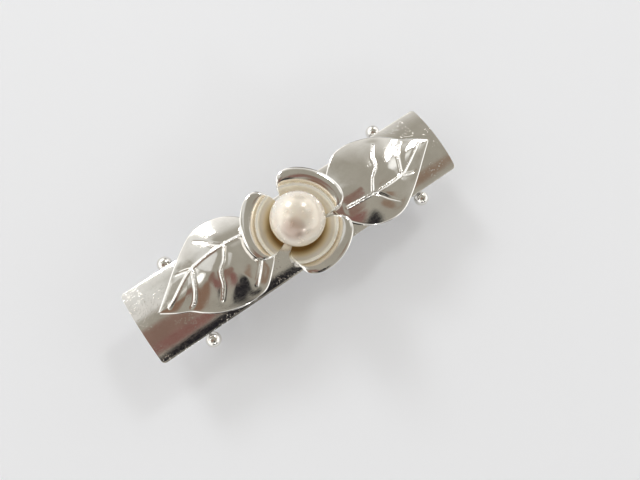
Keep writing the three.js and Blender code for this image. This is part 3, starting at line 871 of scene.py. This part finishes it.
# catch spring: a wire coil from a node tree
springSettings = {"Coil Radius": 0.55 * mm, "Wire Radius": 0.13 * mm, "Half Length": 1.33 * mm, "Turns": 2.5}
springHalves = {"catchSpringFront": (-1, "front_knob_press"), "catchSpringBack": (1, "back_knob_press")}


def springTree():
    tree = bpy.data.node_groups.new("springTree", "GeometryNodeTree")
    tree.interface.new_socket("Geometry", in_out="OUTPUT", socket_type="NodeSocketGeometry")
    for label in ("Middle X", "Middle Z", "Side", *springSettings):
        tree.interface.new_socket(label, in_out="INPUT", socket_type="NodeSocketFloat")
    tree.interface.new_socket("Finish", in_out="INPUT", socket_type="NodeSocketMaterial")
    start = tree.nodes.new("NodeGroupInput").outputs
    line = addNode(tree, "GeometryNodeCurvePrimitiveLine")
    fine = addNode(tree, "GeometryNodeResampleCurve", None, {"Curve": line.outputs[0], "Count": 81})
    share = addNode(tree, "GeometryNodeSplineParameter").outputs["Factor"]
    turn = mathNode(tree, "MULTIPLY", mathNode(tree, "MULTIPLY", share, start["Turns"]), 2 * math.pi)
    along = mathNode(tree, "MULTIPLY", share, start["Side"])
    radius = start["Coil Radius"]
    spot = addNode(
        tree, "ShaderNodeCombineXYZ", None,
        {
            0: mathNode(tree, "MULTIPLY_ADD", radius, mathNode(tree, "COSINE", turn), start["Middle X"]),
            1: mathNode(tree, "MULTIPLY", along, start["Half Length"]),
            2: mathNode(tree, "MULTIPLY_ADD", radius, mathNode(tree, "SINE", turn), start["Middle Z"]),
        },
    )
    coil = addNode(
        tree, "GeometryNodeSetPosition", None,
        {"Geometry": fine.outputs[0], "Position": spot.outputs[0]},
    )
    section = addNode(
        tree, "GeometryNodeCurvePrimitiveCircle", None,
        {"Resolution": 10, "Radius": start["Wire Radius"]},
    )
    wire = addNode(
        tree, "GeometryNodeCurveToMesh", None,
        {"Curve": coil.outputs[0], "Profile Curve": section.outputs[0], "Fill Caps": True},
    )
    real = addNode(tree, "GeometryNodeRealizeInstances", None, {"Geometry": wire.outputs[0]})
    painted = addNode(
        tree, "GeometryNodeSetMaterial", None, {"Geometry": real.outputs[0], "Material": start["Finish"]},
    )
    end = tree.nodes.new("NodeGroupOutput")
    tree.links.new(painted.outputs[0], end.inputs[0])
    return tree


springLow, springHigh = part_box("catch_spring")
springShape = springTree()
for springName, (springSide, springJoint) in springHalves.items():
    springValues = dict(springSettings, Side=springSide, Finish=springFinish)
    springValues["Middle X"] = (springLow[0] + springHigh[0]) / 2
    springValues["Middle Z"] = (springLow[2] + springHigh[2]) / 2
    springMesh = fromTree(springName, springShape, springValues)
    spring = placePiece(
        springName, springMesh, bodyOf("catch_spring"), springFinish, ["catch_spring"], 60,
    )
    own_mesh(spring)
print("spring made")


# floor, sky and lights
stageSettings = {
    "floorSize": 4.0,
    "floor": (0.92, 0.94, 0.98, 1),
    "floorRoughness": 0.7,
    "keyLight": {"azimuth": 93, "elevation": 29, "distance": 1.0, "size": (0.2, 0.2), "power": 2.0},
    "fillLight": {"azimuth": 30, "elevation": 40, "distance": 1.0, "size": (0.15, 0.15), "power": 1.1},
    "lowLight": {"azimuth": 261, "elevation": 26, "distance": 1.0, "size": (0.07, 0.07), "power": 0.3},
}
# what the metal mirrors: azimuth and elevation of each soft patch, inner and outer angle, colour
roomSettings = {
    "low": (1.45, 1.45, 1.45, 1),
    "high": (0.385, 0.365, 0.315, 1),
    "lowEnds": 12,
    "highStarts": 50,
    "patches": [
        {"azimuth": 107, "elevation": 40, "inner": 3, "outer": 12, "colour": (0.82, 0.82, 0.80, 1)},
        {"azimuth": 110, "elevation": 52, "inner": 4, "outer": 11, "colour": (0.78, 0.78, 0.76, 1)},
        {"azimuth": 114, "elevation": 63, "inner": 2, "outer": 9, "colour": (0.8, 0.79, 0.77, 1)},
        {"azimuth": 150, "elevation": 47, "inner": 5, "outer": 13, "colour": (1.8, 1.8, 1.78, 1)},
        {"azimuth": 135, "elevation": 22, "inner": 8, "outer": 20, "colour": (1.6, 1.6, 1.58, 1)},
        {"azimuth": 325, "elevation": 22, "inner": 6, "outer": 18, "colour": (1.5, 1.5, 1.48, 1)},
        {"azimuth": 180, "elevation": 32, "inner": 9, "outer": 18, "colour": (1.5, 1.5, 1.5, 1)},
        {"azimuth": 4, "elevation": 42, "inner": 4, "outer": 13, "colour": (1.1, 1.1, 1.08, 1)},
        {"azimuth": 220, "elevation": 22, "inner": 6, "outer": 14, "colour": (1.3, 1.3, 1.28, 1)},
        {"azimuth": 318, "elevation": 58, "inner": 3, "outer": 8, "colour": (0.28, 0.20, 0.15, 1)},
        {"azimuth": 200, "elevation": 57, "inner": 7, "outer": 15, "colour": (0.25, 0.155, 0.11, 1)},
        {"azimuth": 200, "elevation": 78, "inner": 7, "outer": 13, "colour": (0.25, 0.16, 0.13, 1)},
        {"azimuth": 50, "elevation": 4, "inner": 10, "outer": 22, "colour": (0.16, 0.15, 0.13, 1)},
        {"azimuth": 243, "elevation": 4, "inner": 10, "outer": 22, "colour": (0.10, 0.09, 0.09, 1)},
        {"azimuth": 275, "elevation": 6, "inner": 8, "outer": 18, "colour": (0.10, 0.09, 0.09, 1)},
        {"azimuth": 247, "elevation": 70, "inner": 4, "outer": 8, "colour": (0.24, 0.12, 0.105, 1)},
        {"azimuth": 264, "elevation": 40, "inner": 5, "outer": 12, "colour": (0.02, 0.018, 0.02, 1)},
        {"azimuth": 258, "elevation": 57, "inner": 5.5, "outer": 8, "colour": (0.015, 0.014, 0.018, 1)},
        {"azimuth": 275, "elevation": 59, "inner": 6, "outer": 8.5, "colour": (0.02, 0.019, 0.022, 1)},
    ],
}


def skyDirection(azimuth, elevation):
    turn, lift = math.radians(azimuth), math.radians(elevation)
    return Vector((math.cos(lift) * math.cos(turn), math.cos(lift) * math.sin(turn), math.sin(lift)))


def makeFloor(settings):
    half = settings["floorSize"] / 2 / mm
    corners = [(-half, -half, 0), (half, -half, 0), (half, half, 0), (-half, half, 0)]
    mesh = meshFrom("floor", corners, [(0, 1, 2, 3)])
    floor = bpy.data.objects.new("floor", mesh)
    scene.collection.objects.link(floor)
    made, tree, shader, place = newMaterial("paleFloor")
    shader.inputs["Base Color"].default_value = settings["floor"]
    shader.inputs["Roughness"].default_value = settings["floorRoughness"]
    mesh.materials.append(made)


def makeRoom(settings):
    world = bpy.data.worlds.new("room")
    world.use_nodes = True
    scene.world = world
    tree = world.node_tree
    toward = addNode(tree, "ShaderNodeTexCoord").outputs["Generated"]
    height = addNode(tree, "ShaderNodeSeparateXYZ", None, {0: toward}).outputs[2]
    low, high = (math.sin(math.radians(settings[key])) for key in ("lowEnds", "highStarts"))
    climb = rangeNode(tree, height, low, high, kind="SMOOTHSTEP")
    colour = mixColour(tree, climb, settings["low"], settings["high"])
    for patch in settings["patches"]:
        aim = skyDirection(patch["azimuth"], patch["elevation"])
        near = addNode(
            tree, "ShaderNodeVectorMath", {"operation": "DOT_PRODUCT"}, {0: toward, 1: aim},
        ).outputs["Value"]
        outer, inner = (math.cos(math.radians(patch[key])) for key in ("outer", "inner"))
        share = rangeNode(tree, near, outer, inner, kind="SMOOTHSTEP")
        colour = mixColour(tree, share, colour, patch["colour"])
    tree.links.new(colour, tree.nodes["Background"].inputs["Color"])


def makeLight(name, settings):
    data = bpy.data.lights.new(name, "AREA")
    data.shape = "RECTANGLE"
    data.size, data.size_y = settings["size"]
    data.energy = settings["power"]
    light = bpy.data.objects.new(name, data)
    toward = skyDirection(settings["azimuth"], settings["elevation"])
    light.location = toward * settings["distance"]
    light.rotation_euler = toward.to_track_quat("Z", "Y").to_euler()
    scene.collection.objects.link(light)


makeFloor(stageSettings)
makeRoom(roomSettings)
for lightName in ("keyLight", "fillLight", "lowLight"):
    makeLight(lightName, stageSettings[lightName])
print("stage set")
